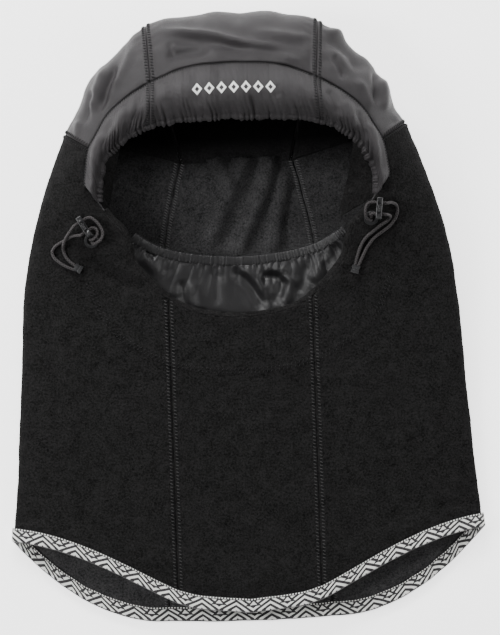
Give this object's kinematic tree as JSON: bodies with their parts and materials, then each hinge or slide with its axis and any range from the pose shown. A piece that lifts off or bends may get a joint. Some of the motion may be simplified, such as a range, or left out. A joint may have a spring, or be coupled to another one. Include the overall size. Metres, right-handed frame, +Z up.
{
  "type": "balaclava",
  "caption": "Fleece hood with a woven shell over the crown, a gathered brim, a pull-up stretch mask, drawcords with cord locks and a jacquard hem tape, lying on its back.",
  "frame": {"origin": "middle of the hood's footprint, on the surface it lies on", "axes": "+Y towards the crown, +Z up out of the face opening, +X to the right seen from above"},
  "size_m": [0.3024, 0.39, 0.0766],
  "materials": {
    "nylon_shell": "woven nylon with a soft sheen",
    "fleece": "brushed fleece",
    "brushed_lining": "brushed fleece, inside",
    "stretch_knit": "smooth stretch knit",
    "hem_tape": "black and white jacquard tape",
    "elastic_cord": "braided elastic cord",
    "elastic_band": "flat knitted elastic",
    "lock_plastic": "moulded plastic",
    "spring_steel": "spring steel"
  },
  "bodies": {
    "hood": {"crown_centre_panel": "nylon_shell", "crown_panel_right": "nylon_shell", "crown_panel_left": "nylon_shell", "crown_lining_centre": "brushed_lining", "crown_lining_right": "brushed_lining", "crown_lining_left": "brushed_lining", "side_panel_right": "fleece", "side_panel_left": "fleece", "neck_front_panel": "fleece", "neck_back_panel": "fleece", "brim_centre": "nylon_shell", "brim_right": "nylon_shell", "brim_left": "nylon_shell", "brim_facing": "brushed_lining", "chin_facing": "fleece", "mask_panel": "stretch_knit", "mask_casing": "stretch_knit", "mask_elastic": "elastic_band", "hem_binding_front": "hem_tape", "hem_binding_back": "hem_tape", "cord_eyelet_right": "lock_plastic", "cord_eyelet_left": "lock_plastic", "cord_tail_upper_right": "elastic_cord", "cord_tail_lower_right": "elastic_cord", "cord_end_right": "lock_plastic", "cord_tail_upper_left": "elastic_cord", "cord_tail_lower_left": "elastic_cord", "cord_end_left": "lock_plastic", "brim_drawcord": "elastic_cord", "chin_drawcord": "elastic_cord"},
    "lock_left": {"lock_body_left": "lock_plastic", "lock_spring_left": "spring_steel"},
    "button_left": {"lock_button_left": "lock_plastic"},
    "lock_right": {"lock_body_right": "lock_plastic", "lock_spring_right": "spring_steel"},
    "button_right": {"lock_button_right": "lock_plastic"}
  },
  "joints": [
    {"name": "lock_left_slide", "type": "slide", "parent": "hood", "child": "lock_left", "axis": [-0.8563, -0.5166, 0], "range_m": [-0.0012, 0.002]},
    {"name": "button_left_press", "type": "slide", "parent": "lock_left", "child": "button_left", "axis": [0, 0, -1], "range_m": [0, 0.0018], "stiffness_N_per_m": 300, "springref_m": -0.002, "deforming": ["lock_spring_left"]},
    {"name": "lock_right_slide", "type": "slide", "parent": "hood", "child": "lock_right", "axis": [0.9934, -0.115, 0], "range_m": [-0.0012, 0.002]},
    {"name": "button_right_press", "type": "slide", "parent": "lock_right", "child": "button_right", "axis": [0, 0, -1], "range_m": [0, 0.0018], "stiffness_N_per_m": 300, "springref_m": -0.002, "deforming": ["lock_spring_right"]}
  ]
}
